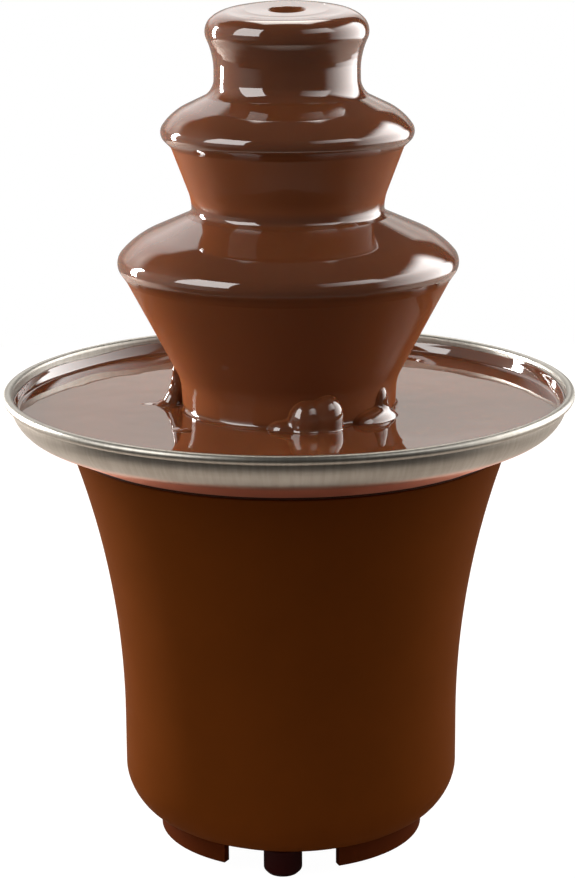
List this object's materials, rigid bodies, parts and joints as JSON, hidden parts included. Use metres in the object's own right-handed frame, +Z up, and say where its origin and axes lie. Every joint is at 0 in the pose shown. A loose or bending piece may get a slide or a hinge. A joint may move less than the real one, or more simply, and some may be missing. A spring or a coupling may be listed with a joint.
{
  "type": "chocolate fountain",
  "caption": "Table-top chocolate fountain: flared base on levelling feet, shallow steel bowl with rolled rim, and stepped tower whose geared auger lifts melted chocolate that runs back down.",
  "frame": {"origin": "on the table, under the middle of the stand", "axes": "+Z up along the shaft, front towards -Y, switches and cord gland at the back, +Y"},
  "size_m": [0.21, 0.21, 0.3155],
  "materials": {
    "brown_plastic": "satin moulded dark brown plastic",
    "foot_rubber": "dark soft rubber",
    "stainless_bowl": "satin stainless steel",
    "seal_rubber": "silicone rubber",
    "plated_steel": "zinc plated steel",
    "screw_steel": "zinc plated screws",
    "sheet_steel": "galvanised sheet",
    "heater_aluminium": "plain rolled sheet",
    "bronze": "sintered bronze and copper",
    "white_nylon": "natural nylon",
    "magnet": "ferrite",
    "circuit_board": "glass fibre board with parts",
    "black_plastic": "moulded black plastic",
    "rocker_plastic": "polished black plastic",
    "tower_plastic": "food grade white plastic",
    "chocolate": "wet, glossy melted milk chocolate"
  },
  "bodies": {
    "base": {"housing": "brown_plastic", "bottom_cover": "brown_plastic", "cover_screws": "screw_steel", "bowl": "stainless_bowl", "bowl_gasket": "seal_rubber", "tower_posts": "plated_steel", "heater_plate": "heater_aluminium", "heating_element": "sheet_steel", "thermostat": "white_nylon", "bracket_pillars": "plated_steel", "motor_bracket": "sheet_steel", "bracket_screws": "screw_steel", "shaft_bush": "bronze", "shaft_seal": "seal_rubber", "gearbox_cover": "white_nylon", "gearbox_case": "white_nylon", "gearbox_screws": "screw_steel", "idler_pin": "plated_steel", "motor_can": "sheet_steel", "motor_magnets": "magnet", "motor_end_cap": "white_nylon", "motor_screws": "screw_steel", "rectifier_board": "circuit_board", "heat_switch": "black_plastic", "motor_switch": "black_plastic", "cord_gland": "black_plastic", "chocolate_pool": "chocolate"},
    "drive": {"drive_shaft": "plated_steel", "drive_pin": "plated_steel", "retaining_ring": "plated_steel", "output_gear": "white_nylon"},
    "idler": {"idler_gear": "white_nylon"},
    "rotor": {"motor_shaft": "plated_steel", "motor_armature": "bronze", "motor_pinion": "bronze"},
    "auger": {"auger": "tower_plastic", "chocolate_well": "chocolate"},
    "tower_lower": {"tower_lower_section": "tower_plastic", "chocolate_lower_flow": "chocolate"},
    "tower_middle": {"tower_middle_section": "tower_plastic", "chocolate_middle_flow": "chocolate"},
    "tower_crown": {"tower_crown": "tower_plastic", "chocolate_crown_flow": "chocolate"},
    "front_foot": {"foot_front": "foot_rubber", "foot_stud_front": "plated_steel"},
    "right_foot": {"foot_right": "foot_rubber", "foot_stud_right": "plated_steel"},
    "left_foot": {"foot_left": "foot_rubber", "foot_stud_left": "plated_steel"},
    "heat_rocker": {"heat_rocker": "rocker_plastic"},
    "motor_rocker": {"motor_rocker": "rocker_plastic"}
  },
  "joints": [
    {"name": "drive_spin", "type": "hinge", "parent": "base", "child": "drive", "pos_m": [0, 0, 0], "axis": [0, 0, 1], "continuous": true},
    {"name": "idler_spin", "type": "hinge", "parent": "base", "child": "idler", "pos_m": [0.0224, 0, 0], "axis": [0, 0, 1], "continuous": true},
    {"name": "rotor_spin", "type": "hinge", "parent": "base", "child": "rotor", "pos_m": [0.0112, 0.0194, 0], "axis": [0, 0, 1], "continuous": true},
    {"name": "auger_lift", "type": "slide", "parent": "drive", "child": "auger", "axis": [0, 0, 1], "range_m": [0, 0.16]},
    {"name": "tower_lift", "type": "slide", "parent": "base", "child": "tower_lower", "axis": [0, 0, 1], "range_m": [0, 0.16]},
    {"name": "middle_lift", "type": "slide", "parent": "tower_lower", "child": "tower_middle", "axis": [0, 0, 1], "range_m": [0, 0.07]},
    {"name": "crown_lift", "type": "slide", "parent": "tower_middle", "child": "tower_crown", "axis": [0, 0, 1], "range_m": [0, 0.05]},
    {"name": "front_foot_screw", "type": "slide", "parent": "base", "child": "front_foot", "axis": [0, 0, -1], "range_m": [0, 0.006]},
    {"name": "right_foot_screw", "type": "slide", "parent": "base", "child": "right_foot", "axis": [0, 0, -1], "range_m": [0, 0.006]},
    {"name": "left_foot_screw", "type": "slide", "parent": "base", "child": "left_foot", "axis": [0, 0, -1], "range_m": [0, 0.006]},
    {"name": "heat_rocker_tip", "type": "hinge", "parent": "base", "child": "heat_rocker", "pos_m": [-0.01939, 0.05968, 0.0598], "axis": [0.9511, 0.309, 0], "range_deg": [0, 20]},
    {"name": "motor_rocker_tip", "type": "hinge", "parent": "base", "child": "motor_rocker", "pos_m": [0.01939, 0.05968, 0.0598], "axis": [0.9511, -0.309, 0], "range_deg": [0, 20]}
  ],
  "couplings": [
    {"joint": "idler_spin", "follows": "drive_spin", "ratio": -3},
    {"joint": "rotor_spin", "follows": "drive_spin", "ratio": 9}
  ]
}
